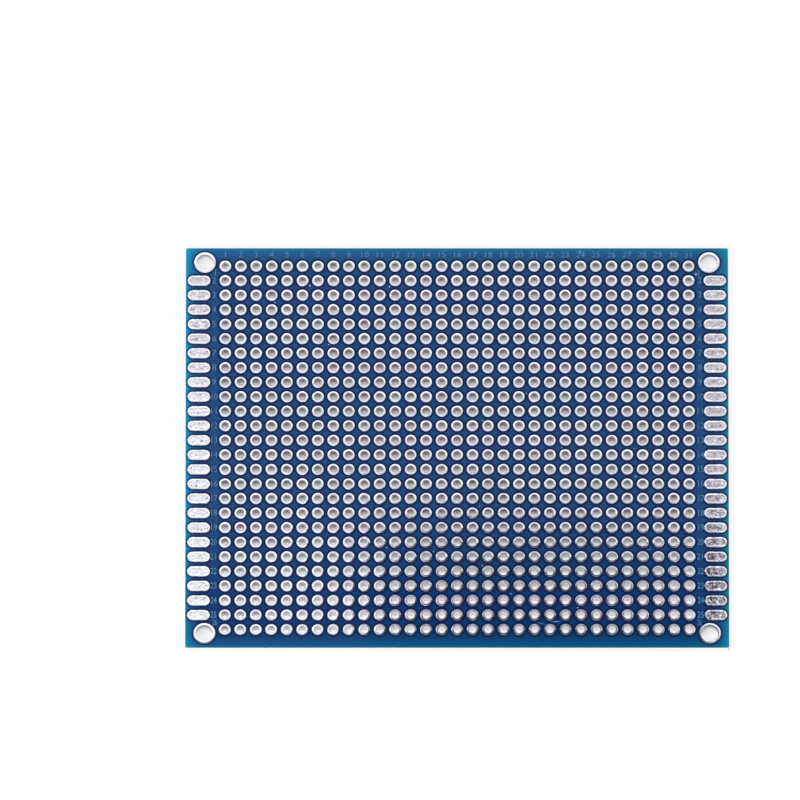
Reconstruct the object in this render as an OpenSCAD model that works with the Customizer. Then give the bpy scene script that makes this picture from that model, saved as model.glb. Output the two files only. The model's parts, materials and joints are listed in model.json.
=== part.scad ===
// Prototype board: a drilled glass-fibre laminate with plated lead holes on a square grid,
// a column of solder lands along each short edge and a plated mounting hole in each corner.
// X runs along the longer side, Y along the shorter one, and the back face's solder lies on z = 0.

/* [Lead holes] */
// Lead holes in a row, along X
columns = 31; // [6:1:60]
// Rows of lead holes, along Y
rows = 26; // [6:1:50]
// Distance between the centres of neighbouring lead holes
pitch = 2.54; // [2.3:0.01:5.08]
// Bore of a lead hole, after plating
lead_hole_d = 1; // [0.6:0.05:1.25]
// Width of the solder ring round a lead hole
lead_ring_w = 0.475; // [0.3:0.025:0.55]
// Distance from the front or back edge to the nearest row of lead holes
end_margin = 3.15; // [1.5:0.05:8]

/* [Mounting holes] */
// Bore of a mounting hole, after plating
mount_hole_d = 2.7; // [2:0.1:3.4]
// Width of the solder ring round a mounting hole
mount_ring_w = 0.425; // [0.3:0.025:0.6]
// Distance from the left or right edge to a mounting hole's centre
mount_inset_x = 3.15; // [2.6:0.05:8]
// Distance from the front or back edge to a mounting hole's centre
mount_inset_y = 2.5; // [2.4:0.05:6]
// Distance along X from the solder beside the board's edge to the nearest lead hole's solder
solder_gap = 0.6; // [0.3:0.05:2]

/* [Edge lands] */
// Length of an edge land, from the board's edge inwards
land_l = 3.75; // [2.4:0.05:6]
// Width of an edge land
land_w = 1.8; // [1:0.05:2.1]
// Strip left between the board's edge and the edge lands
land_edge_gap = 0.3; // [0.15:0.05:1.5]

/* [Layers] */
// Thickness of the glass-fibre laminate
laminate_t = 1.5; // [0.8:0.1:3.2]
// Radius of the laminate's corners
corner_r = 0.3; // [0.1:0.1:1.2]
// Thickness of the solder mask on each face
mask_t = 0.03; // [0.02:0.005:0.06]
// Gap between the solder mask and the solder that it leaves bare
mask_gap = 0.08; // [0.05:0.01:0.14]

/* [Solder] */
// Height of the tinned copper above the laminate
solder_h = 0.07; // [0.05:0.005:0.12]
// Height of the tinned copper's side, below its sloping rim
solder_side_h = 0.025; // [0.01:0.005:0.04]
// Width of the sloping rim of the tinned copper
solder_rim_w = 0.14; // [0.06:0.01:0.16]
// Thickness of the metal that lines a hole
plating_t = 0.05; // [0.03:0.01:0.1]
// Fall of a solder ring from its crown to the mouth of the hole
mouth_fall = 0.025; // [0.01:0.005:0.04]
// Fall of a solder ring from its crown to its rim
rim_fall = 0.012; // [0.005:0.001:0.02]

/* [Hidden] */
// Facets of a full circle in the preview
$fn = 24;

mount_ring_r = mount_hole_d / 2 + mount_ring_w;
lead_ring_r = lead_hole_d / 2 + lead_ring_w;
side_margin = max(mount_inset_x + mount_ring_r, land_edge_gap + land_l) + solder_gap + lead_ring_r;
board_w = (columns - 1) * pitch + 2 * side_margin;
board_d = (rows - 1) * pitch + 2 * end_margin;

back_z = solder_h;
front_z = back_z + laminate_t;
top_z = front_z + solder_h;

// Rows at each end without edge lands, because a mounting hole takes their place
land_reach = mount_inset_y + mount_ring_r + land_w / 2 + 2 * mask_gap;
land_skip = ceil((land_reach - end_margin) / pitch);
land_x = board_w / 2 - land_edge_gap - land_l / 2;
land_round_x = (land_l - land_w) / 2;

ROW_NAMES = [for (row = [1 : rows]) str("plated_holes_row_", row < 10 ? "0" : "", row)];

laminate_colour = "#b8b488";
mask_colour = "#1f5d92";
solder_colour = "#d4d6d9";

function column_x(column) = (column - (columns + 1) / 2) * pitch;
function row_y(row) = ((rows + 1) / 2 - row) * pitch;

// The outline of the board, with rounded corners
module board_outline() {
    square([board_w - 2 * corner_r, board_d], center = true);
    square([board_w, board_d - 2 * corner_r], center = true);
    for (x = [-1, 1], y = [-1, 1])
        translate([x * (board_w / 2 - corner_r), y * (board_d / 2 - corner_r)])
            circle(corner_r);
}

// Its children at every lead hole
module at_lead_holes() {
    for (row = [1 : rows], column = [1 : columns])
        translate([column_x(column), row_y(row)])
            children();
}

// Its children at the four mounting holes
module at_mounting_holes() {
    for (x = [-1, 1], y = [-1, 1])
        translate([x * (board_w / 2 - mount_inset_x), y * (board_d / 2 - mount_inset_y)])
            children();
}

// Its children at each edge land of one side: -1 is the left edge and 1 the right one
module at_edge_lands(side) {
    for (row = [1 + land_skip : rows - land_skip])
        translate([side * land_x, row_y(row)])
            children();
}

// The tinned metal through a hole: its lining, and a crowned ring with a sloping rim on each face
module plated_hole(bore_r, ring_r) {
    lining_r = bore_r + plating_t;
    rim_r = ring_r - solder_rim_w;
    crown_r = (bore_r + rim_r) / 2;
    slope_h = solder_h - solder_side_h;
    rotate_extrude()
        polygon([
            [bore_r, mouth_fall], [crown_r, 0], [rim_r, rim_fall], [ring_r, slope_h], [ring_r, back_z],
            [lining_r, back_z], [lining_r, front_z], [ring_r, front_z], [ring_r, top_z - slope_h],
            [rim_r, top_z - rim_fall], [crown_r, top_z], [bore_r, top_z - mouth_fall]
        ]);
}

// One land of tinned copper: a bar with round ends and a sloping rim, on the z = 0 plane
module edge_land() {
    top_w = land_w - 2 * solder_rim_w;
    for (x = [-land_round_x, land_round_x])
        translate([x, 0]) {
            cylinder(d = land_w, h = solder_side_h);
            translate([0, 0, solder_side_h])
                cylinder(d1 = land_w, d2 = top_w, h = solder_h - solder_side_h);
        }
    rotate([90, 0, 90])
        linear_extrude(2 * land_round_x, center = true)
            polygon([
                [-land_w / 2, 0], [land_w / 2, 0], [land_w / 2, solder_side_h],
                [top_w / 2, solder_h], [-top_w / 2, solder_h], [-land_w / 2, solder_side_h]
            ]);
}

// The hole that the solder mask leaves round an edge land
module edge_land_opening() {
    opening_w = land_w + 2 * mask_gap;
    square([2 * land_round_x, opening_w], center = true);
    for (x = [-land_round_x, land_round_x])
        translate([x, 0])
            circle(d = opening_w);
}

module laminate() {
    color(laminate_colour)
        translate([0, 0, back_z])
            linear_extrude(laminate_t)
                difference() {
                    board_outline();
                    at_lead_holes() circle(lead_hole_d / 2 + plating_t);
                    at_mounting_holes() circle(mount_hole_d / 2 + plating_t);
                }
}

module solder_mask(z) {
    color(mask_colour)
        translate([0, 0, z])
            linear_extrude(mask_t)
                difference() {
                    board_outline();
                    at_lead_holes() circle(lead_ring_r + mask_gap);
                    at_mounting_holes() circle(mount_ring_r + mask_gap);
                    at_edge_lands(-1) edge_land_opening();
                    at_edge_lands(1) edge_land_opening();
                }
}

module mounting_hole_plating() {
    color(solder_colour)
        at_mounting_holes()
            plated_hole(mount_hole_d / 2, mount_ring_r);
}

module plated_holes_row(row) {
    color(solder_colour)
        for (column = [1 : columns])
            translate([column_x(column), row_y(row)])
                plated_hole(lead_hole_d / 2, lead_ring_r);
}

module edge_lands_front(side) {
    color(solder_colour)
        translate([0, 0, front_z])
            at_edge_lands(side) edge_land();
}

module edge_lands_back(side) {
    color(solder_colour)
        translate([0, 0, back_z])
            mirror([0, 0, 1])
                at_edge_lands(side) edge_land();
}

laminate();
solder_mask(front_z);  // solder_mask_front
solder_mask(back_z - mask_t);  // solder_mask_back
mounting_hole_plating();
edge_lands_front(-1);  // edge_lands_front_left
edge_lands_front(1);  // edge_lands_front_right
edge_lands_back(-1);  // edge_lands_back_left
edge_lands_back(1);  // edge_lands_back_right
for (row = [1 : rows]) {
    plated_holes_row(row);
}
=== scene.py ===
import json
import math

import bpy
from mathutils import Matrix, Vector


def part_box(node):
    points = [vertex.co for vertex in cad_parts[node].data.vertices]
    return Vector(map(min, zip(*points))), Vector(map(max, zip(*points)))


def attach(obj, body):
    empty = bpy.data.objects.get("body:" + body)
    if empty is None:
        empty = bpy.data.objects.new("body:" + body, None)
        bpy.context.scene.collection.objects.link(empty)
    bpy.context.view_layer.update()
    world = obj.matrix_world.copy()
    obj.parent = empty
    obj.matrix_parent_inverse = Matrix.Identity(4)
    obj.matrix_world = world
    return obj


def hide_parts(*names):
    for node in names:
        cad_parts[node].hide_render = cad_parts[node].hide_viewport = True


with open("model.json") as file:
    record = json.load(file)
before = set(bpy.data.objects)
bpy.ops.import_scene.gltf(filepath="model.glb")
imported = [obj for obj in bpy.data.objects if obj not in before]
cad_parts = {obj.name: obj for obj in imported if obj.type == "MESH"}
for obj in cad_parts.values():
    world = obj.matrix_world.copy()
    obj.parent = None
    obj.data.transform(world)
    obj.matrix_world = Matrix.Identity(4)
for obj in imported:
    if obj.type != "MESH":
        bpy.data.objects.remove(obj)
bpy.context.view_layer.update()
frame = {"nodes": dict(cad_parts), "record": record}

# The laminate: woven glass fibre in epoxy resin, drilled and then routed to its outline.
# Its faces are under the solder mask and show only in the narrow gaps round the solder, where they
# are painted dark navy as painted shade; the cut edges are matt and nearly white, with the plies as fine
# lines.
MM = 0.001
board_low, board_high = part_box("laminate")
board_half_x = board_high.x / MM
board_half_y = board_high.y / MM
laminate_front = board_high.z / MM
lead_grid = next(mount for mount in frame["record"]["mounts"] if mount["name"] == "lead_grid_corners")
grid_half_x = lead_grid["dims"]["spacing_x_mm"] / 2
grid_half_y = lead_grid["dims"]["spacing_y_mm"] / 2
columns, rows = 31, 26
pitch = 2 * grid_half_x / (columns - 1)


def srgb(red, green, blue):
    """A colour given in the steps of 0 to 255 that a photograph has, as Blender's linear numbers."""
    steps = [channel / 255 for channel in (red, green, blue)]
    return [s / 12.92 if s < 0.04045 else ((s + 0.055) / 1.055) ** 2.4 for s in steps] + [1]


def add_node(tree, kind, values=(), **settings):
    """One node: its settings by name, and each input's value or the socket that feeds it."""
    node = tree.nodes.new("ShaderNode" + kind)
    for name, setting in settings.items():
        setattr(node, name, setting)
    for name, value in dict(values).items():
        if isinstance(value, bpy.types.NodeSocket):
            tree.links.new(value, node.inputs[name])
        else:
            node.inputs[name].default_value = value
    return node


def maths(tree, operation, *terms):
    """One sum or other operation on numbers and sockets."""
    return add_node(tree, "Math", enumerate(terms), operation=operation).outputs[0]


def product(tree, first, *others):
    """Numbers and sockets multiplied together."""
    for other in others:
        first = maths(tree, "MULTIPLY", first, other)
    return first


def split(tree, vector):
    """The X, Y and Z of a place or a direction."""
    return add_node(tree, "SeparateXYZ", {0: vector}).outputs


def noise(tree, place, scale, detail=2.0, roughness=0.5):
    """Cloudy noise around a half, with about this many clouds in a millimetre."""
    terms = {"Vector": place, "Scale": scale, "Detail": detail, "Roughness": roughness}
    return add_node(tree, "TexNoise", terms).outputs["Fac"]


def blended(tree, amount, first, second):
    """A colour between two others: amount 0 gives the first and 1 the second."""
    node = add_node(tree, "Mix", {"Factor": amount}, data_type="RGBA")
    for socket, colour in ((node.inputs[6], first), (node.inputs[7], second)):
        if isinstance(colour, bpy.types.NodeSocket):
            tree.links.new(colour, socket)
        else:
            socket.default_value = colour
    return node.outputs[2]


def ramped(tree, value, low, high, from_value=0.0, to_value=1.0):
    """A smooth step: value low gives from_value, value high gives to_value."""
    terms = {"Value": value, "From Min": low, "From Max": high, "To Min": from_value, "To Max": to_value}
    return add_node(tree, "MapRange", terms, interpolation_type="SMOOTHSTEP").outputs[0]


def new_material(name, colour, roughness, metallic=0.0):
    """A material with its shader, its node tree and its place on the board in millimetres."""
    material = bpy.data.materials.new(name)
    material.use_nodes = True
    material.diffuse_color = colour
    tree = material.node_tree
    shader = tree.nodes["Principled BSDF"]
    shader.inputs["Base Color"].default_value = colour
    shader.inputs["Roughness"].default_value = roughness
    shader.inputs["Metallic"].default_value = metallic
    place = add_node(tree, "TexCoord").outputs["Object"]
    place_mm = add_node(tree, "VectorMath", {0: place, 1: [1 / MM] * 3}, operation="MULTIPLY").outputs[0]
    return material, tree, shader, place_mm


edge_colour = srgb(234, 238, 228)
ply_colour = srgb(208, 213, 196)
gap_shade_colour = srgb(0, 24, 64)
ply_height_mm = 0.2
ply_strength = 0.75
ply_waviness = 2.5
fibre_relief_mm = 0.02

laminate, tree, shader, place = new_material("glass_fibre_laminate", edge_colour, 0.62)
normal = add_node(tree, "NewGeometry").outputs["Normal"]
fibres = noise(tree, place, 3.2, detail=4.0, roughness=0.6)
ply_phase = maths(tree, "MULTIPLY", split(tree, place)["Z"], 2 * math.pi / ply_height_mm)
ply_phase = maths(tree, "MULTIPLY_ADD", fibres, ply_waviness, ply_phase)
plies = ramped(tree, maths(tree, "SINE", ply_phase), -0.6, 0.9, 0.0, ply_strength)
cut_edge = blended(tree, plies, edge_colour, ply_colour)
is_face = ramped(tree, maths(tree, "ABSOLUTE", split(tree, normal)["Z"]), 0.4, 0.6)
# painted shade: the laminate's faces, seen only in the gaps round the solder, are coloured dark navy
tree.links.new(blended(tree, is_face, cut_edge, gap_shade_colour), shader.inputs["Base Color"])
edge_bump = add_node(tree, "Bump", {"Height": fibres, "Distance": fibre_relief_mm * MM, "Strength": 0.8})
tree.links.new(edge_bump.outputs[0], shader.inputs["Normal"])
frame["nodes"]["laminate"].material_slots[0].material = laminate

# The solder mask: a film of blue lacquer on each face, with an opening round every piece of solder.
# It is painted darkest where it steps down beside the solder, a painted shade, and painted darker
# towards the lower edge, also painted shade; a painted glow turns it teal along the board's edges,
# where light comes in through the laminate; and it has three short scratches. Its gloss is satin.
lead_ring_r = 0.975
land_half_straight = 0.975
land_half_w = 0.9
land_low, land_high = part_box("edge_lands_front_right")
land_x = (land_low.x + land_high.x) / 2 / MM
mount_ring_r = 1.775
mount_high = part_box("mounting_hole_plating")[1]
mount_x = mount_high.x / MM - mount_ring_r
mount_y = mount_high.y / MM - mount_ring_r
mask_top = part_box("solder_mask_front")[1].z / MM

beside_solder = bpy.data.node_groups.new("beside_solder", "ShaderNodeTree")
beside_solder.interface.new_socket("Place", in_out="INPUT", socket_type="NodeSocketVector")
beside_solder.interface.new_socket("Gap", in_out="OUTPUT", socket_type="NodeSocketFloat")
tree = beside_solder
way_in = tree.nodes.new("NodeGroupInput")
axes = split(tree, way_in.outputs["Place"])


def distance(tree, first, second):
    """How far apart two numbers are."""
    return maths(tree, "ABSOLUTE", maths(tree, "SUBTRACT", first, second))


def nearest(tree, value, last):
    """The nearest of the evenly spaced values, a pitch apart, from minus last to last."""
    step = maths(tree, "DIVIDE", maths(tree, "ADD", value, last), pitch)
    whole = maths(tree, "ROUND", maths(tree, "MINIMUM", maths(tree, "MAXIMUM", step, 0.0), 2 * last / pitch))
    return maths(tree, "MULTIPLY_ADD", whole, pitch, -last)


def length(tree, x, y):
    """How far a point is from the origin of two distances."""
    squares = maths(tree, "ADD", maths(tree, "POWER", x, 2.0), maths(tree, "POWER", y, 2.0))
    return maths(tree, "SQRT", squares)


across = maths(tree, "ABSOLUTE", axes["X"])
along = maths(tree, "ABSOLUTE", axes["Y"])
to_column = distance(tree, axes["X"], nearest(tree, axes["X"], grid_half_x))
to_row = distance(tree, axes["Y"], nearest(tree, axes["Y"], grid_half_y))
to_lead = maths(tree, "SUBTRACT", length(tree, to_column, to_row), lead_ring_r)
to_land_row = distance(tree, axes["Y"], nearest(tree, axes["Y"], grid_half_y - pitch))
to_land_end = maths(tree, "SUBTRACT", distance(tree, across, land_x), land_half_straight)
to_land_end = maths(tree, "MAXIMUM", to_land_end, 0.0)
to_land = maths(tree, "SUBTRACT", length(tree, to_land_end, to_land_row), land_half_w)
from_mount_x = maths(tree, "SUBTRACT", across, mount_x)
from_mount_y = maths(tree, "SUBTRACT", along, mount_y)
to_mount = maths(tree, "SUBTRACT", length(tree, from_mount_x, from_mount_y), mount_ring_r)
gap = maths(tree, "MINIMUM", maths(tree, "MINIMUM", to_lead, to_land), to_mount)
way_out = tree.nodes.new("NodeGroupOutput")
tree.links.new(gap, way_out.inputs["Gap"])


def gap_to_solder(tree, place):
    """How far a place is from the nearest solder's edge: less than 0 is on the solder."""
    group = add_node(tree, "Group", {}, node_tree=beside_solder)
    tree.links.new(place, group.inputs["Place"])
    return group.outputs["Gap"]


mask_colour = srgb(8, 81, 121)
mask_mottle_colour = srgb(38, 44, 106)
lower_shade_colour = srgb(0, 47, 100)
lower_shade_y = -31, -6
lower_shade_strength = 0.92
left_glow_colour = srgb(20, 144, 190)
right_glow_colour = srgb(4, 146, 172)
glow_depth_mm = 1.0
glow_lower_left, glow_left, glow_right, glow_bottom, glow_top = 0.6, 1.0, 0.7, 0.33, 0.44
mask_step_shade_colour = srgb(0, 18, 60)
mask_step_mm = 0.14, 0.5
mask_step_shade_strength = 0.95
scratch_colour = srgb(120, 168, 208)
scratch_strength = 0.8
scratches = (  # the middle, half the length and half the width in mm, and the turn in degrees
    (13.75, -30.68, 1.0, 0.09, -17), (16.2, -30.35, 1.0, 0.13, 3), (17.9, -28.95, 0.5, 0.08, 80),
)
weave_of_peel = 0.12
mask_relief_mm = 0.012

mask, tree, shader, place = new_material("blue_solder_mask", mask_colour, 0.34)
shader.inputs["Specular IOR Level"].default_value = 0.11
axes = split(tree, place)
mottle = noise(tree, place, 2.6, detail=5.0, roughness=0.9)
lacquer = blended(tree, ramped(tree, mottle, 0.38, 0.62), mask_colour, mask_mottle_colour)
# painted shade: the lacquer is darkened towards the board's lower edge
lower = ramped(tree, axes["Y"], *lower_shade_y, lower_shade_strength, 0.0)
lacquer = blended(tree, lower, lacquer, lower_shade_colour)


def edge_glow(tree, position, half_size, low_strength, high_strength):
    """Light from two opposite edges, each with its strength, that fades inwards over the glow's depth."""
    from_edge = maths(tree, "SUBTRACT", half_size, maths(tree, "ABSOLUTE", position))
    fading = maths(tree, "EXPONENT", maths(tree, "DIVIDE", from_edge, -glow_depth_mm))
    strength = ramped(tree, position, -half_size, half_size, low_strength, high_strength)
    return maths(tree, "MULTIPLY", fading, strength)


# painted glow: the lacquer is lightened to teal along the edges, standing in for light that comes in through
# the laminate
left_glow = ramped(tree, axes["Y"], -board_half_y, 0.0, glow_lower_left, glow_left)
side_glow = edge_glow(tree, axes["X"], board_half_x, left_glow, glow_right)
end_glow = edge_glow(tree, axes["Y"], board_half_y, glow_bottom, glow_top)
edge_light = maths(tree, "MINIMUM", maths(tree, "ADD", side_glow, end_glow), 1.0)
rightwards = ramped(tree, axes["X"], -board_half_x, board_half_x)
glow_colour = blended(tree, rightwards, left_glow_colour, right_glow_colour)
lacquer = blended(tree, edge_light, lacquer, glow_colour)
# painted shade: the lacquer is darkened in a band beside the solder, less where the edge glow is
step = ramped(tree, gap_to_solder(tree, place), *mask_step_mm, mask_step_shade_strength, 0.0)
step = maths(tree, "MULTIPLY", step, maths(tree, "MULTIPLY_ADD", edge_light, -0.5, 1.0))
lacquer = blended(tree, step, lacquer, mask_step_shade_colour)
for x, y, half_length, half_width, turn in scratches:
    spot = {
        "Vector": place, "Location": (x, y, 0), "Rotation": (0, 0, math.radians(turn)),
        "Scale": (half_length, half_width, 1),
    }
    line = split(tree, add_node(tree, "Mapping", spot, vector_type="TEXTURE").outputs[0])
    scratch = ramped(tree, length(tree, line["X"], line["Y"]), 0.3, 1.0, scratch_strength, 0.0)
    scratch = maths(tree, "MULTIPLY", scratch, ramped(tree, mottle, 0.4, 0.55, 0.3, 1.0))
    lacquer = blended(tree, scratch, lacquer, scratch_colour)
tree.links.new(lacquer, shader.inputs["Base Color"])
threads = {"Vector": place, "Scale": 0.62, "Distortion": 1.2, "Detail": 1.0}
warp = add_node(tree, "TexWave", threads)
weft = add_node(tree, "TexWave", threads, bands_direction="Y")
weave = maths(tree, "ADD", warp.outputs["Fac"], weft.outputs["Fac"])
relief = maths(tree, "MULTIPLY_ADD", weave, weave_of_peel, noise(tree, place, 1.8))
mask_bump = add_node(tree, "Bump", {"Height": relief, "Distance": mask_relief_mm * MM})
tree.links.new(mask_bump.outputs[0], shader.inputs["Normal"])
tree.links.new(ramped(tree, mottle, 0.3, 0.7, 0.28, 0.42), shader.inputs["Roughness"])
for name in ("solder_mask_front", "solder_mask_back"):
    frame["nodes"][name].material_slots[0].material = mask

# The plated holes: copper through each drilling, dipped in solder that was blown level.
# What is left is bright, uneven tin-lead, a little duller where flux was left, and no two rings are alike.
# The mouth of each hole, and the upper side of each ring in the lower rows, carry painted shade.
solder_relief = bpy.data.node_groups.new("solder_relief", "ShaderNodeTree")
for socket_name, way, kind in (
    ("Place", "INPUT", "NodeSocketVector"),
    ("Lump Scale", "INPUT", "NodeSocketFloat"),
    ("Height", "OUTPUT", "NodeSocketFloat"),
    ("Dullness", "OUTPUT", "NodeSocketFloat"),
):
    solder_relief.interface.new_socket(socket_name, in_out=way, socket_type=kind)
tree = solder_relief
way_in = tree.nodes.new("NodeGroupInput")
place = way_in.outputs["Place"]
lumps = noise(tree, place, way_in.outputs["Lump Scale"], detail=1.5, roughness=0.45)
grain = noise(tree, place, 9.0, roughness=0.6)
grain_of_lumps = 0.12
stain_and_shade = noise(tree, place, 0.75, detail=4.0, roughness=0.65)
way_out = tree.nodes.new("NodeGroupOutput")
tree.links.new(maths(tree, "MULTIPLY_ADD", grain, grain_of_lumps, lumps), way_out.inputs["Height"])
tree.links.new(stain_and_shade, way_out.inputs["Dullness"])

solder_colour = srgb(232, 234, 246)
dull_solder_colour = srgb(204, 201, 209)
most_dull = 0.8
rim_shade_colour = srgb(16, 40, 88)
rim_waviness_mm = 0.16
rim_inset_mm = 0.09


def solder_material(name, lump_scale, lump_height_mm, rim_shade=1.0):
    """Bright solder with lumps: how many in a millimetre, and how high. Its rim is shaded by its share.

    Its surface's colour and the gap to the solder's edge come back too, for the duller solder and painted
    shade laid over it."""
    material, tree, shader, place = new_material(name, solder_colour, 0.24, metallic=1.0)
    relief = add_node(tree, "Group", {}, node_tree=solder_relief)
    tree.links.new(place, relief.inputs["Place"])
    relief.inputs["Lump Scale"].default_value = lump_scale
    dull = ramped(tree, relief.outputs["Dullness"], 0.45, 0.7, 0.0, most_dull)
    surface = blended(tree, dull, solder_colour, dull_solder_colour)
    gap = gap_to_solder(tree, place)
    wavy_gap = maths(tree, "MULTIPLY_ADD", relief.outputs["Height"], rim_waviness_mm, -rim_inset_mm)
    rim = ramped(tree, maths(tree, "ADD", wavy_gap, gap), -0.07, -0.01, 0.0, rim_shade)
    rim = maths(tree, "MULTIPLY", rim, ramped(tree, gap, 0.03, 0.06, 1.0, 0.0))
    surface = blended(tree, rim, surface, rim_shade_colour)
    tree.links.new(surface, shader.inputs["Base Color"])
    roughness = ramped(tree, relief.outputs["Dullness"], 0.35, 0.7, 0.13, 0.26)
    tree.links.new(roughness, shader.inputs["Roughness"])
    bump = add_node(tree, "Bump", {"Height": relief.outputs["Height"], "Distance": lump_height_mm * MM})
    tree.links.new(bump.outputs[0], shader.inputs["Normal"])
    return material, tree, shader, place, surface, gap


# painted shade colour for the mouths of the lead holes
mouth_shade_colour = srgb(150, 146, 152)
bore_shade_colour = srgb(42, 39, 44)
bore_light_colour = srgb(202, 196, 204)
lit_from = (-0.7, 0.7, 0)
mouth_edge_mm = 0.22
bore_edge_mm = 0.39
own_tint_of_mouth, own_tint_of_bore = 0.04, 0.05
mouth_waviness_mm = 0.24
mouth_drift = -0.08
# painted shade colour for the upper side of the rings in the lower rows
ring_shade_colour = srgb(150, 147, 155)
ring_shade_y = -26, -2
ring_shade_strength = 0.85
frost_y = -28, -8
frost_strength = 0.75

ring_solder, tree, shader, place, surface, gap = solder_material("ring_solder", 1.1, 0.05)
axes = split(tree, place)

# Each hole's mouth and wall carry painted shade, less and less towards the lower edge, least at the right
# of the lower rows and a little less in the top rows. Each hole has its own share of it and its own faint
# tint, which come from the cell of the grid that it is in.
least_hole_shade = ramped(tree, axes["X"], -grid_half_x, -0.3 * grid_half_x, 0.8, 0.04)
hole_shade_share = ramped(tree, axes["Y"], -grid_half_y, 0.0, least_hole_shade, 1.0)
upper_hole_shade = ramped(tree, axes["Y"], 0.5 * grid_half_y, grid_half_y, 1.0, 0.75)
in_cell = add_node(tree, "VectorMath", {0: place, 1: (pitch / 2, 0, 0)}).outputs[0]
in_cell = add_node(tree, "VectorMath", {0: in_cell, 1: (1, 1, 0)}, operation="MULTIPLY").outputs[0]
cell = add_node(tree, "VectorMath", {0: in_cell, 1: [pitch] * 3}, operation="SNAP").outputs[0]
own = add_node(tree, "TexWhiteNoise", {"Vector": cell}).outputs
hole_shade_share = product(tree, hole_shade_share, upper_hole_shade, ramped(tree, own["Value"], 0.0, 1.0, 0.75, 1.1))

# The mouth of each hole is painted with shade down to a wavy line, a little further on its lower side.
up_in_cell = maths(tree, "SUBTRACT", maths(tree, "FLOORED_MODULO", axes["Y"], pitch), pitch / 2)
wavy_gap = maths(tree, "MULTIPLY_ADD", noise(tree, place, 1.6), mouth_waviness_mm, -mouth_waviness_mm / 2)
wavy_gap = maths(tree, "ADD", wavy_gap, gap)
wavy_gap = maths(tree, "MULTIPLY_ADD", up_in_cell, mouth_drift, wavy_gap)
mouth = ramped(tree, wavy_gap, -bore_edge_mm, -mouth_edge_mm, 1.0, 0.0)
mouth_shade_colour = blended(tree, own_tint_of_mouth, mouth_shade_colour, own["Color"])
surface = blended(tree, product(tree, mouth, hole_shade_share), surface, mouth_shade_colour)

# In the lower rows the upper side of each ring is painted greyer as painted shade, and the solder is frosted
# round the hole.
away_from_left = ramped(tree, axes["X"], -grid_half_x, -0.2 * grid_half_x)
ring_shade_from_left = ramped(tree, axes["X"], -grid_half_x, -0.2 * grid_half_x, 0.15, 1.0)
ring_shade_upwards = ramped(tree, up_in_cell, 0.1, 0.7)
ring_shade_outwards = ramped(tree, gap, -0.34, -0.18, 0.25, 1.0)
ring_shade_downwards = ramped(tree, axes["Y"], *ring_shade_y, ring_shade_strength, 0.0)
ring_shade = product(tree, ring_shade_upwards, ring_shade_downwards, ring_shade_from_left, ring_shade_outwards)
surface = blended(tree, ring_shade, surface, ring_shade_colour)
normal = add_node(tree, "NewGeometry").outputs["Normal"]
on_wall = ramped(tree, maths(tree, "ABSOLUTE", split(tree, normal)["Z"]), 0.15, 0.5, 1.0, 0.0)
frost_inwards = ramped(tree, wavy_gap, -0.42, -0.28, 1.0, 0.0)
frost_downwards = ramped(tree, axes["Y"], *frost_y, frost_strength, 0.0)
off_wall = maths(tree, "SUBTRACT", 1.0, on_wall)
frosted = product(tree, frost_inwards, frost_downwards, away_from_left, off_wall)
tree.links.new(maths(tree, "SUBTRACT", 1.0, frosted), shader.inputs["Metallic"])

# The wall of a hole is dark on the upper left, just under the mouth, and paler on the side that
# the light reaches and further down.
lit_side = add_node(tree, "VectorMath", {0: normal, 1: lit_from}, operation="DOT_PRODUCT").outputs["Value"]
lit_side = ramped(tree, lit_side, -0.7, 0.8, 0.0, 0.75)
down_the_bore = ramped(tree, axes["Z"], laminate_front - 1.3, laminate_front - 0.2, 1.0, 0.0)
lit = maths(tree, "MAXIMUM", lit_side, down_the_bore)
bore_colour = blended(tree, lit, bore_shade_colour, bore_light_colour)
bore_colour = blended(tree, own_tint_of_bore, bore_colour, own["Color"])
in_bore = product(tree, on_wall, ramped(tree, gap, -mouth_edge_mm, -mouth_edge_mm / 2, 1.0, 0.0), hole_shade_share)
tree.links.new(blended(tree, in_bore, surface, bore_colour), shader.inputs["Base Color"])
for row in range(1, rows + 1):
    frame["nodes"][f"plated_holes_row_{row:02d}"].material_slots[0].material = ring_solder

# The mounting holes are plated and dipped like the lead holes, with a narrower bright ring.
# The wall of the hole is clean and bright, with painted shade that greys it up to the ring.
board_middle_z = (board_low.z + board_high.z) / 2 / MM
mount_wall_shade_colour = srgb(140, 134, 140)
mount_solder = solder_material("mount_ring_solder", 1.3, 0.035, rim_shade=0.45)
mount_solder, tree, shader, place, surface, gap = mount_solder
in_bore = ramped(tree, gap, -0.42, -0.4, 1.0, 0.0)
from_middle = maths(tree, "SUBTRACT", split(tree, place)["Z"], board_middle_z)
# painted shade: the wall is greyed from the middle up to the ring
wall_shade = maths(tree, "MULTIPLY", in_bore, ramped(tree, from_middle, -0.6, 0.75))
tree.links.new(blended(tree, wall_shade, surface, mount_wall_shade_colour), shader.inputs["Base Color"])
frame["nodes"]["mounting_hole_plating"].material_slots[0].material = mount_solder

# The edge lands: bare copper fingers at both short edges, dipped with the rest. The solder has a
# raised bright rim and a flatter middle where it drew back into lumps with pits between them,
# so each land is a rounded bar that is pressed in here and there, and no two are alike.
pool_colour = srgb(196, 190, 198)
pool_y = -2, 26
least_bared = 0.12
land_shade_colour = srgb(66, 63, 70)
land_shade_y = -30, 12
land_shade_outwards_mm = -0.6, 1.5
shade_at_left, shade_above, shade_at_end = 0.2, 0.12, 0.45
pinhole_strength = 0.7
streak_turn = 0.6
streak_shape = (1.1, 0.45, 1)

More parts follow.
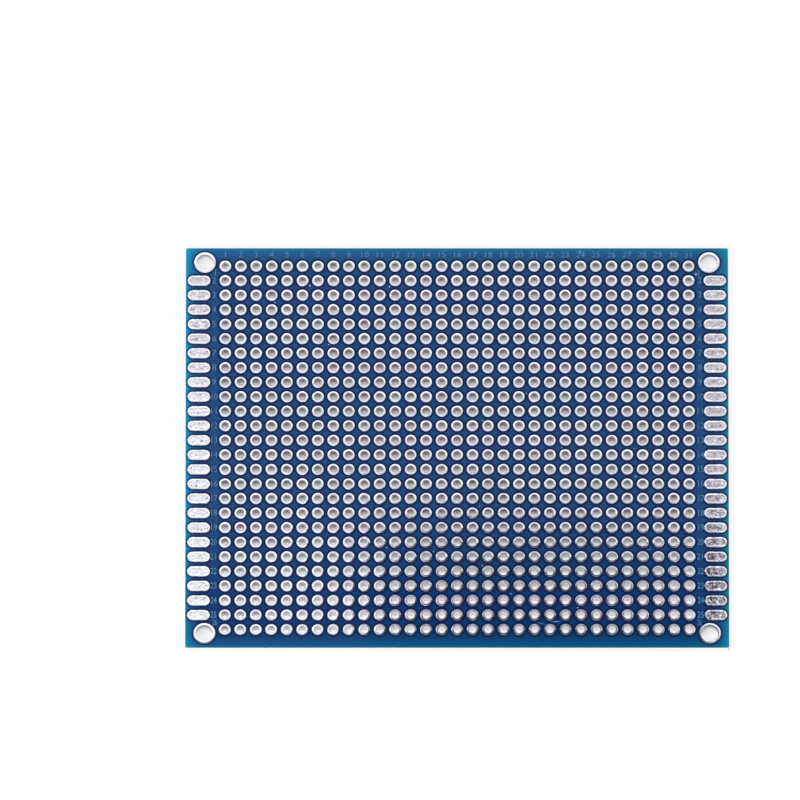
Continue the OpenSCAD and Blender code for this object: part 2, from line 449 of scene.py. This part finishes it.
land_solder, tree, shader, place, surface, gap = solder_material("land_solder", 1.9, 0.07)
axes = split(tree, place)
inside_rim = ramped(tree, gap, -0.38, -0.24, 1.0, 0.0)
at_right = ramped(tree, axes["X"], -board_half_x, board_half_x)
streaks = add_node(tree, "Mapping", {"Vector": place, "Rotation": (0, 0, streak_turn), "Scale": streak_shape})
drained = noise(tree, streaks.outputs[0], 1.3, detail=3.0, roughness=0.6)
drained = ramped(tree, drained, 0.52, 0.66, 1.0, 0.0)
most_bared = maths(tree, "MAXIMUM", at_right, ramped(tree, axes["Y"], *pool_y, least_bared, 1.0))
surface = blended(tree, product(tree, inside_rim, drained, most_bared), surface, pool_colour)
# painted shade: dark patches in the middle of each land, strongest in the lower right and weaker towards the
# board's edge, with small dark pinholes
patches = ramped(tree, noise(tree, place, 1.25, detail=3.0, roughness=0.65), 0.45, 0.56)
outwards = maths(tree, "SUBTRACT", maths(tree, "ABSOLUTE", axes["X"]), land_x)
outwards = ramped(tree, outwards, *land_shade_outwards_mm, 1.0, shade_at_end)
rightwards = ramped(tree, at_right, 0, 1, shade_at_left, 1)
downwards = ramped(tree, axes["Y"], *land_shade_y, 1.0, shade_above)
stain_and_shade = product(tree, patches, inside_rim, rightwards, downwards, outwards)
pinholes = ramped(tree, noise(tree, place, 2.3), 0.6, 0.68, 0.0, pinhole_strength)
stain_and_shade = maths(tree, "MAXIMUM", stain_and_shade, product(tree, inside_rim, pinholes))
tree.links.new(blended(tree, stain_and_shade, surface, land_shade_colour), shader.inputs["Base Color"])
land_end_facets = 20
land_side_h = 0.025
land_front_h = land_high.z / MM - laminate_front
land_straight_cuts = 7
land_steps = (  # each step over the land's top: inwards and upwards, in mm
    (0.14, land_front_h - land_side_h), (0.13, 0), (0.1, -0.012), (0.16, 0), (0.16, 0),
)
land_lump_mm = 0.6
land_pit_mm = 0.05


def select_parts(piece, parts, test):
    """Selects those vertices, edges or faces of a piece in edit mode whose middle passes a test."""
    bpy.ops.object.mode_set(mode="OBJECT")
    mesh = piece.data
    for kind in (mesh.vertices, mesh.edges, mesh.polygons):
        kind.foreach_set("select", [False] * len(kind))
    for part in getattr(mesh, parts):
        if parts == "vertices":
            part.select = test(part.co)
        elif parts == "polygons":
            part.select = test(part.center)
        else:
            part.select = test(*(mesh.vertices[corner].co for corner in part.vertices))
    mode = {"vertices": "VERT", "edges": "EDGE", "polygons": "FACE"}[parts]
    bpy.ops.object.mode_set(mode="EDIT")
    bpy.ops.mesh.select_mode(type=mode)


def join_pieces(pieces):
    """Joins several pieces into the first of them."""
    bpy.ops.object.select_all(action="DESELECT")
    for piece in pieces:
        piece.select_set(True)
    bpy.context.view_layer.objects.active = pieces[0]
    bpy.ops.object.join()
    return pieces[0]


bpy.ops.object.select_all(action="DESELECT")
bpy.ops.mesh.primitive_circle_add(vertices=land_end_facets, radius=land_half_w * MM, fill_type="NGON")
land = bpy.context.object
bpy.ops.object.mode_set(mode="EDIT")
bpy.ops.mesh.select_all(action="SELECT")
bpy.ops.transform.rotate(value=math.pi / land_end_facets, orient_axis="Z", center_override=(0, 0, 0))
for side in (-1, 1):
    select_parts(land, "vertices", lambda corner: corner.x * side > 0)
    bpy.ops.transform.translate(value=(side * land_half_straight * MM, 0, 0))
select_parts(land, "edges", lambda start, end: start.x * end.x < 0)
bpy.ops.mesh.subdivide(number_cuts=land_straight_cuts)
bpy.ops.mesh.select_mode(type="FACE")
bpy.ops.mesh.select_all(action="SELECT")
bpy.ops.mesh.extrude_region_move(TRANSFORM_OT_translate={"value": (0, 0, land_side_h * MM)})
select_parts(land, "polygons", lambda middle: middle.z > 0.9 * land_side_h * MM)
for inwards, upwards in land_steps:
    bpy.ops.mesh.inset(thickness=inwards * MM, depth=upwards * MM)
bpy.ops.mesh.select_all(action="SELECT")
bpy.ops.mesh.normals_make_consistent(inside=False)
bpy.ops.object.mode_set(mode="OBJECT")
bpy.ops.object.shade_smooth_by_angle(angle=math.radians(50))
pool = land.vertex_groups.new(name="pool")
pool_vertices = [v.index for v in land.data.vertices if v.co.z > 0.8 * land_front_h * MM]
pool.add(pool_vertices, 1.0, "REPLACE")

pits = bpy.data.textures.new("solder_pits", "CLOUDS")
pits.noise_scale = land_lump_mm * MM
pits.noise_depth = 1
first_land_y = (grid_half_y - pitch) * MM
for side_name, side in (("left", -1), ("right", 1)):
    for face_name, up, height in (("front", 1, laminate_front), ("back", -1, board_low.z / MM)):
        lands = []
        for number in range(rows - 2):
            one = land.copy()
            one.data = land.data.copy()
            bpy.context.scene.collection.objects.link(one)
            spot = Vector((side * land_x * MM, first_land_y - number * pitch * MM, height * MM))
            one.matrix_world = Matrix.Translation(spot) @ Matrix.Diagonal((1, 1, up, 1))
            lands.append(one)
        piece = join_pieces(lands)
        bpy.ops.object.transform_apply()
        bpy.ops.object.mode_set(mode="EDIT")
        bpy.ops.mesh.select_all(action="SELECT")
        bpy.ops.mesh.normals_make_consistent(inside=False)
        bpy.ops.object.mode_set(mode="OBJECT")
        pressed = piece.modifiers.new("pits", "DISPLACE")
        pressed.texture = pits
        pressed.texture_coords = "GLOBAL"
        pressed.direction = "Z"
        pressed.vertex_group = "pool"
        pressed.mid_level = 0.0
        pressed.strength = -up * land_pit_mm * MM
        bpy.ops.object.modifier_apply(modifier="pits")
        node_name = f"edge_lands_{face_name}_{side_name}"
        piece.name = node_name + "_pitted"
        piece.data.materials.clear()
        piece.data.materials.append(land_solder)
        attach(piece, "root")
        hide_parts(node_name)
        frame["nodes"][node_name].material_slots[0].material = land_solder
bpy.data.objects.remove(land)

# The index marks: plain numbers printed in pale ink, one over each column of lead holes and one
# beside each row, at both ends. They count holes and say nothing else.
mark_colour = srgb(78, 140, 172)
worn_mark_colour = srgb(34, 86, 131)
most_worn, least_worn_above = 0.85, 0.45
worn_share_below = 0.35
mark_h = 1.08
column_mark_y = 33.73
column_mark_widest = 1.5
row_mark_x, row_mark_widest = 39.95, 1.0
end_mark_x, end_mark_widest = 39.74, 0.7
end_mark_shift_y = 1.2
digit_height_of_size = 0.7
ink_thinning_mm = 0.008
ink_h = 0.006

ink, tree, shader, place = new_material("printed_ink", mark_colour, 0.5)
upwards = split(tree, place)["Y"]
worn = ramped(tree, noise(tree, place, 1.4, detail=5.0, roughness=0.7), 0.4, 0.62, 0.0, most_worn)
worn = maths(tree, "MULTIPLY", worn, ramped(tree, upwards, -board_half_y, 0, worn_share_below, 1.0))
worn = maths(tree, "MAXIMUM", worn, ramped(tree, upwards, -board_half_y, 0, 0.0, least_worn_above))
tree.links.new(blended(tree, worn, mark_colour, worn_mark_colour), shader.inputs["Base Color"])


def printed_number(number, x, y, widest):
    """One number of ink on the mask, centred on its place, narrowed where it is wider than that."""
    bpy.ops.object.select_all(action="DESELECT")
    bpy.ops.object.text_add()
    mark = bpy.context.object
    mark.data.body = str(number)
    mark.data.align_x = "CENTER"
    mark.data.align_y = "CENTER"
    mark.data.size = mark_h / digit_height_of_size * MM
    mark.data.resolution_u = 2
    mark.data.offset = -ink_thinning_mm * MM
    mark.data.extrude = ink_h / 2 * MM
    bpy.ops.object.convert(target="MESH")
    mark.scale.x = min(1.0, widest * MM / mark.dimensions.x)
    mark.location = (x * MM, y * MM, (mask_top + ink_h / 2) * MM)
    bpy.ops.object.transform_apply()
    return mark


marks = []
for column in range(1, columns + 1):
    mark_x = -grid_half_x + (column - 1) * pitch
    marks.append(printed_number(column, mark_x, column_mark_y, column_mark_widest))
for row in range(1, rows + 1):
    mark_y = grid_half_y - (row - 1) * pitch
    mark_x, widest = row_mark_x, row_mark_widest
    if row in (1, rows):
        mark_y -= math.copysign(end_mark_shift_y, mark_y)
        mark_x, widest = end_mark_x, end_mark_widest
    for side in (-1, 1):
        marks.append(printed_number(row, side * mark_x, mark_y, widest))
index_marks = join_pieces(marks)
index_marks.name = "index_marks"
index_marks.data.materials.clear()
index_marks.data.materials.append(ink)
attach(index_marks, "root")

# Stray solder: a few balls that splashed on the mask when the board was dipped, and stuck there
# flattened, half sunk in it. They lie where the photograph shows a bright speck between the holes.
speck_colour = srgb(146, 164, 184)
speck_flatness = 0.25
speck_most_h = 0.035
speck_narrowing = 0.85
specks_mm = (  # the middle and the radius
    (39.3, 30.35, 0.19), (-24.22, 28.35, 0.16), (-11.08, 28.17, 0.15), (20.29, 34.29, 0.14),
    (29.32, -5.04, 0.14), (-21.1, 18.04, 0.13),
    (4.19, 4.75, 0.12), (8.79, -25.49, 0.12), (4.19, -20.6, 0.12), (16.02, -7.66, 0.11),
    (-11.57, -17.45, 0.11), (-29.97, 25.38, 0.11), (19.79, -27.94, 0.11), (31.62, -17.8, 0.1),
    (-3.86, -18.15, 0.1), (11.42, 9.47, 0.1), (-33.75, -22.87, 0.1), (17.17, 0.03, 0.1),
    (29.15, -0.15, 0.1), (3.7, -10.28, 0.09),
)
speck_solder = new_material("stray_solder", speck_colour, 0.4, metallic=0.3)[0]
specks = []
for x, y, radius in specks_mm:
    bpy.ops.object.select_all(action="DESELECT")
    bpy.ops.mesh.primitive_uv_sphere_add(segments=10, ring_count=6, radius=radius * MM)
    speck = bpy.context.object
    bpy.ops.object.mode_set(mode="EDIT")
    bpy.ops.mesh.select_all(action="SELECT")
    speck_h = min(radius * speck_flatness, speck_most_h)
    bpy.ops.transform.resize(value=(1, speck_narrowing, speck_h / radius), center_override=(0, 0, 0))
    bpy.ops.transform.rotate(value=x, orient_axis="Z", center_override=(0, 0, 0))
    bpy.ops.object.mode_set(mode="OBJECT")
    bpy.ops.object.shade_smooth_by_angle(angle=math.radians(60))
    speck.location = (x * MM, y * MM, mask_top * MM)
    bpy.ops.object.transform_apply()
    specks.append(speck)
stray_solder = join_pieces(specks)
stray_solder.name = "stray_solder"
stray_solder.data.materials.append(speck_solder)
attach(stray_solder, "root")

# The bench: a sheet of plain white paper that the board lies on. What is seen of it down the holes
# is in the board's shade, except under the lower rows and under the wide mounting holes.
floor_size = 8.0
floor_colour = srgb(250, 250, 250)
paper_colour = srgb(253, 253, 253)
white_beside, white_under_low, white_under_high = 0.85, 0.85, 0.36
shade_y = -34, -6
shade_inside_edge_mm = -1.5, -0.3
past_last_column_x = 38.8, 39.6
mount_shade_up_mm = -0.2, 1.35
mount_shade_low, mount_shade_high = 0.07, 0.3

bpy.ops.object.select_all(action="DESELECT")
bpy.ops.mesh.primitive_plane_add(size=floor_size)
floor = bpy.context.object
floor.name = "bench_top"
bench, tree, shader, place = new_material("white_bench", floor_colour, 0.9)
shader.inputs["Specular IOR Level"].default_value = 0.0
paper = blended(tree, noise(tree, place, 0.05), floor_colour, paper_colour)
tree.links.new(paper, shader.inputs["Base Color"])
axes = split(tree, place)
across = maths(tree, "ABSOLUTE", axes["X"])
past_side = maths(tree, "SUBTRACT", across, board_half_x)
past_end = maths(tree, "SUBTRACT", maths(tree, "ABSOLUTE", axes["Y"]), board_half_y)
past_edge = maths(tree, "MAXIMUM", past_side, past_end)
at_mount = ramped(tree, across, *past_last_column_x)
white_under = ramped(tree, axes["Y"], *shade_y, white_under_low, white_under_high)
white_under = maths(tree, "MAXIMUM", white_under, maths(tree, "MULTIPLY", at_mount, white_under_low))
white = ramped(tree, past_edge, *shade_inside_edge_mm, white_under, white_beside)
up_in_mount = maths(tree, "MULTIPLY_ADD", maths(tree, "SIGN", axes["Y"]), -mount_y, axes["Y"])
mount_shade = ramped(tree, up_in_mount, *mount_shade_up_mm, mount_shade_low, mount_shade_high)
mount_shade = product(tree, at_mount, mount_shade, ramped(tree, past_edge, -1, -0.3, 1, 0))
seen_by = add_node(tree, "LightPath").outputs
seen = maths(tree, "MAXIMUM", seen_by["Is Camera Ray"], seen_by["Is Glossy Ray"])
seen = maths(tree, "MAXIMUM", seen, seen_by["Is Transmission Ray"])
plain_white = add_node(tree, "Emission", {"Strength": maths(tree, "SUBTRACT", 1.0, mount_shade)})
backdrop = tree.nodes.new("ShaderNodeMixShader")
tree.links.new(maths(tree, "MULTIPLY", seen, white), backdrop.inputs[0])
tree.links.new(shader.outputs[0], backdrop.inputs[1])
tree.links.new(plain_white.outputs[0], backdrop.inputs[2])
tree.links.new(backdrop.outputs[0], tree.nodes["Material Output"].inputs["Surface"])
floor.data.materials.append(bench)

# The light: a large soft lamp on the left, on the camera's side, in a pale room that is dark overhead
# where the camera stands. Only the solder mirrors the four cards, which hang low over the board and
# are brighter on the left than on the right, and the pale walls lower down.
room_colour = srgb(240, 240, 245)
room_behind_camera, room_at_camera, room_beyond, room_past_floor = 0.38, 0.01, 0.8, 1.05
mirrored_walls = 0.8
walls_up_to = 0.5, 0.72

world = bpy.data.worlds.new("pale_room")
bpy.context.scene.world = world
world.use_nodes = True
tree = world.node_tree
room = tree.nodes["Background"]
room.inputs["Color"].default_value = room_colour
way = split(tree, add_node(tree, "TexCoord").outputs["Generated"])
behind_camera = ramped(tree, way["Y"], -0.15, 0.08, room_behind_camera, room_at_camera)
beyond = ramped(tree, way["Y"], 0.2, 0.58, 0.0, room_beyond)
seen_by = add_node(tree, "LightPath").outputs
walls = ramped(tree, way["Z"], *walls_up_to, mirrored_walls, 0.0)
walls = maths(tree, "MULTIPLY", walls, seen_by["Is Glossy Ray"])
room_light = maths(tree, "MAXIMUM", maths(tree, "ADD", behind_camera, beyond), walls)
room_light = {"Factor": seen_by["Is Camera Ray"], "A": room_light, "B": room_past_floor}
tree.links.new(add_node(tree, "Mix", room_light).outputs[0], room.inputs["Strength"])


def soft_lamp(name, size, place, aim, power, for_solder_only=False):
    """A rectangular lamp of one size that shines on a point of the board, from its place in metres."""
    data = bpy.data.lights.new(name, "AREA")
    data.shape = "RECTANGLE"
    data.size, data.size_y = size
    data.energy = power
    lamp = bpy.data.objects.new(name, data)
    bpy.context.scene.collection.objects.link(lamp)
    lamp.location = place
    lamp.rotation_euler = (Vector(aim) - Vector(place)).to_track_quat("-Z", "Y").to_euler()
    lamp.visible_camera = False
    lamp.visible_diffuse = not for_solder_only


key_size, key_place, key_power = (0.7, 0.5), (-0.45, -0.65, 1.0), 16.5
soft_lamp("key_lamp", key_size, key_place, (0, 0, 0), key_power)
card_height = 0.035
for name, left, right, near, far, brightness in (
    ("white_card", -0.15, -0.026, -0.0045, 0.15, 0.86),
    ("pale_card", -0.026, 0.15, -0.0045, 0.15, 0.76),
    ("left_card", -0.15, -0.014, -0.03, -0.0045, 0.94),
    ("right_card", 0.041, 0.15, -0.03, -0.0045, 0.74),
):
    size = (right - left, far - near)
    place = ((left + right) / 2, (near + far) / 2, card_height)
    power = brightness * math.pi * size[0] * size[1]
    soft_lamp(name, size, place, (place[0], place[1], 0), power, for_solder_only=True)

# The camera: a very long lens, so that the rows of holes stay parallel, on the side of the
# board's lower edge. A millimetre along Y looks shorter than one along X, which gives the angle off
# straight down. The board lies right of and below the middle of the picture, 800 pixels wide.
picture_size = 800
pixels_a_mm_across, pixels_a_mm_along = 6.089, 5.7205
board_middle_pixel = (457.05, 447.65)
camera_tilt = math.acos(pixels_a_mm_along / pixels_a_mm_across)
lens, sensor = 1650.0, 36.0
camera_distance = picture_size / pixels_a_mm_across * MM * lens / sensor
offset_x = (picture_size / 2 - board_middle_pixel[0]) / pixels_a_mm_across * MM
offset_up = (board_middle_pixel[1] - picture_size / 2) / pixels_a_mm_across * MM
camera_data = bpy.data.cameras.new("camera")
camera_data.lens = lens
camera_data.sensor_width = sensor
camera_data.clip_end = 2 * camera_distance
camera = bpy.data.objects.new("camera", camera_data)
bpy.context.scene.collection.objects.link(camera)
upwards = Vector((0, math.cos(camera_tilt), math.sin(camera_tilt)))
backwards = Vector((0, -math.sin(camera_tilt), math.cos(camera_tilt)))
sight = Vector((offset_x, 0, board_high.z)) + upwards * offset_up
camera.location = sight + backwards * camera_distance
camera.rotation_euler = (camera_tilt, 0, 0)
bpy.context.scene.camera = camera
bpy.context.scene.view_settings.view_transform = "Standard"
